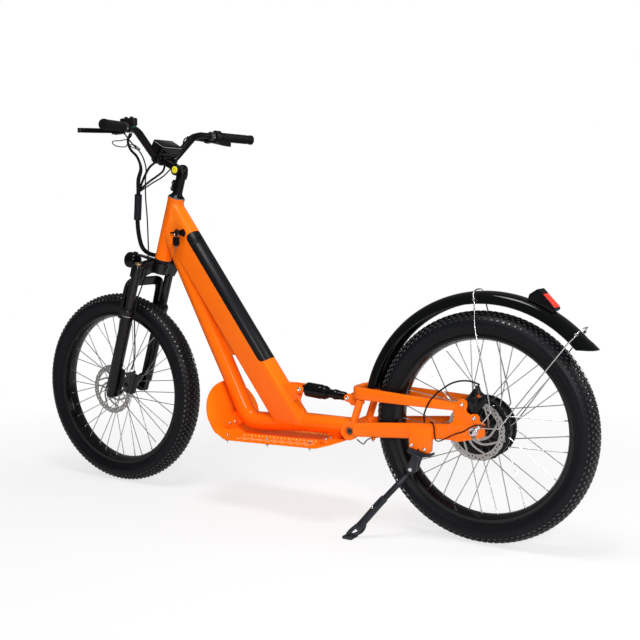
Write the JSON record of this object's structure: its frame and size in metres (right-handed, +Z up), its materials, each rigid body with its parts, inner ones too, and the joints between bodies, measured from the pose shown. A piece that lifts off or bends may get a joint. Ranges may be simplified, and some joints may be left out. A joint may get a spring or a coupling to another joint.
{
  "type": "electric kick bike",
  "caption": "Two large spoked wheels, a low footboard, a boxed down tube with a slide-out battery, sprung fork and swingarm, tall folding stem with wide bars.",
  "frame": {"origin": "on the floor, midway between the two wheel axles and on the middle plane", "axes": "+X points forward, +Y to the rider's left and +Z up"},
  "size_m": [2.1366, 0.8108, 1.3111],
  "materials": {
    "orange_paint": "gloss",
    "black_paint": "gloss",
    "black_metal": "satin",
    "black_plastic": "satin",
    "gloss_black": "gloss",
    "grip_rubber": "matte",
    "tyre_rubber": "matte",
    "cable_skin": "satin",
    "silver_steel": "satin",
    "rotor_steel": "brushed",
    "battery_black": "satin",
    "lamp_clear": "gloss",
    "lamp_red": "gloss",
    "cap_yellow": "satin",
    "screen_glass": "gloss"
  },
  "bodies": {
    "frame": {"head_tube": "orange_paint", "down_tube": "orange_paint", "spine_tube": "orange_paint", "deck_plate": "orange_paint", "headset_cup": "black_metal", "lock_cylinder": "black_metal", "swing_axle": "black_metal"},
    "battery": {"battery_case": "battery_black"},
    "key_turn_body": {"key": "black_plastic"},
    "steering": {"fork_crown": "black_paint", "stanchion_left": "black_metal", "stanchion_right": "black_metal", "headlight_body": "black_plastic", "headlight_lens": "lamp_clear", "stem_post": "black_metal", "hinge_bolt": "cap_yellow", "cable_loom": "cable_skin", "front_brake_cable": "cable_skin"},
    "bars": {"stem_arm": "black_metal", "stem_faceplate": "black_metal", "handlebar": "black_metal", "grip_left": "grip_rubber", "grip_right": "grip_rubber", "display_body": "gloss_black", "display_screen": "screen_glass", "brake_perch_left": "black_metal", "brake_perch_right": "black_metal", "switch_pod": "black_plastic", "throttle_housing": "black_plastic"},
    "lever_left": {"brake_lever_left": "black_metal"},
    "lever_right": {"brake_lever_right": "black_metal"},
    "paddle": {"throttle_paddle": "black_plastic"},
    "horn": {"horn_button": "gloss_black"},
    "light_switch": {"light_button": "gloss_black"},
    "lowers": {"fork_lowers": "black_paint", "front_caliper": "black_metal", "front_axle": "silver_steel"},
    "front_wheel": {"front_tyre": "tyre_rubber", "front_rim": "black_paint", "front_hub": "black_metal", "front_rotor": "rotor_steel"},
    "swingarm": {"swingarm_left": "orange_paint", "swingarm_right": "orange_paint", "swingarm_loop": "orange_paint", "rear_axle": "silver_steel", "rear_caliper": "black_metal", "fender": "gloss_black", "fender_stays": "silver_steel", "tail_light_body": "black_plastic", "tail_light_lens": "lamp_red", "kickstand_bracket": "black_metal", "rear_brake_hose": "cable_skin", "motor_cable": "cable_skin"},
    "rear_wheel": {"rear_tyre": "tyre_rubber", "rear_rim": "black_paint", "hub_motor": "black_metal", "rear_rotor": "rotor_steel"},
    "stand": {"kickstand_leg": "black_metal"},
    "shock_upper": {"shock_can": "gloss_black"},
    "shock_lower": {"shock_shaft": "gloss_black"}
  },
  "joints": [
    {"name": "battery_slide", "type": "slide", "parent": "frame", "child": "battery", "axis": [-0.8039, 0, 0.5948], "range_m": [0, 0.09]},
    {"name": "key_turn", "type": "hinge", "parent": "frame", "child": "key_turn_body", "pos_m": [0.416, 0.036, 0.925], "axis": [0, 1, 0], "range_deg": [0, 90]},
    {"name": "steer", "type": "hinge", "parent": "frame", "child": "steering", "pos_m": [0.6648, 0, 0.3334], "axis": [-0.2957, 0, 0.9553], "range_deg": [-60, 60], "deforming": ["cable_loom"]},
    {"name": "stem_tilt", "type": "hinge", "parent": "steering", "child": "bars", "pos_m": [0.428, 0, 1.14301], "axis": [0, 1, 0], "range_deg": [-30, 25], "deforming": ["cable_loom", "front_brake_cable"]},
    {"name": "left_brake", "type": "hinge", "parent": "bars", "child": "lever_left", "pos_m": [0.492, 0.246, 1.263], "axis": [0, 0, 1], "range_deg": [0, 20], "stiffness_Nm_per_rad": 2, "springref_deg": -5.73},
    {"name": "right_brake", "type": "hinge", "parent": "bars", "child": "lever_right", "pos_m": [0.492, -0.246, 1.263], "axis": [0, 0, -1], "range_deg": [0, 20], "stiffness_Nm_per_rad": 2, "springref_deg": -5.73},
    {"name": "throttle", "type": "hinge", "parent": "bars", "child": "paddle", "pos_m": [0.45279, -0.25208, 1.27529], "axis": [-0.3326, -0.9424, -0.0347], "range_deg": [0, 30], "stiffness_Nm_per_rad": 0.4, "springref_deg": -11.46},
    {"name": "horn_press", "type": "slide", "parent": "bars", "child": "horn", "axis": [0, 0, -1], "range_m": [0, 0.002], "stiffness_N_per_m": 300, "springref_m": -0.002},
    {"name": "light_press", "type": "slide", "parent": "bars", "child": "light_switch", "axis": [0, 0, -1], "range_m": [0, 0.002], "stiffness_N_per_m": 300, "springref_m": -0.002},
    {"name": "fork_travel", "type": "slide", "parent": "steering", "child": "lowers", "axis": [-0.2957, 0, 0.9553], "range_m": [0, 0.06], "stiffness_N_per_m": 7000, "springref_m": -0.06, "deforming": ["front_brake_cable"]},
    {"name": "front_wheel_spin", "type": "hinge", "parent": "lowers", "child": "front_wheel", "pos_m": [0.7183, 0, 0.35], "axis": [0, 1, 0], "continuous": true},
    {"name": "swing", "type": "hinge", "parent": "frame", "child": "swingarm", "pos_m": [-0.288, 0, 0.301], "axis": [0, 1, 0], "range_deg": [0, 12], "stiffness_Nm_per_rad": 900, "springref_deg": -11.46},
    {"name": "rear_wheel_spin", "type": "hinge", "parent": "swingarm", "child": "rear_wheel", "pos_m": [-0.7183, 0, 0.35], "axis": [0, 1, 0], "continuous": true},
    {"name": "stand_fold", "type": "hinge", "parent": "swingarm", "child": "stand", "pos_m": [-0.524, 0.088, 0.217], "axis": [0, 1, 0], "range_deg": [0, 115]},
    {"name": "shock_tilt", "type": "hinge", "parent": "frame", "child": "shock_upper", "pos_m": [-0.079, 0, 0.412], "axis": [0, 1, 0], "range_deg": [-3.3, 0]},
    {"name": "shock_stroke", "type": "slide", "parent": "shock_upper", "child": "shock_lower", "axis": [0.9975, 0, 0.0712], "range_m": [0, 0.0192]}
  ],
  "couplings": [
    {"joint": "shock_tilt", "follows": "swing", "ratio": -0.2683},
    {"joint": "shock_stroke", "follows": "swing", "m_per_rad": 0.0904}
  ]
}
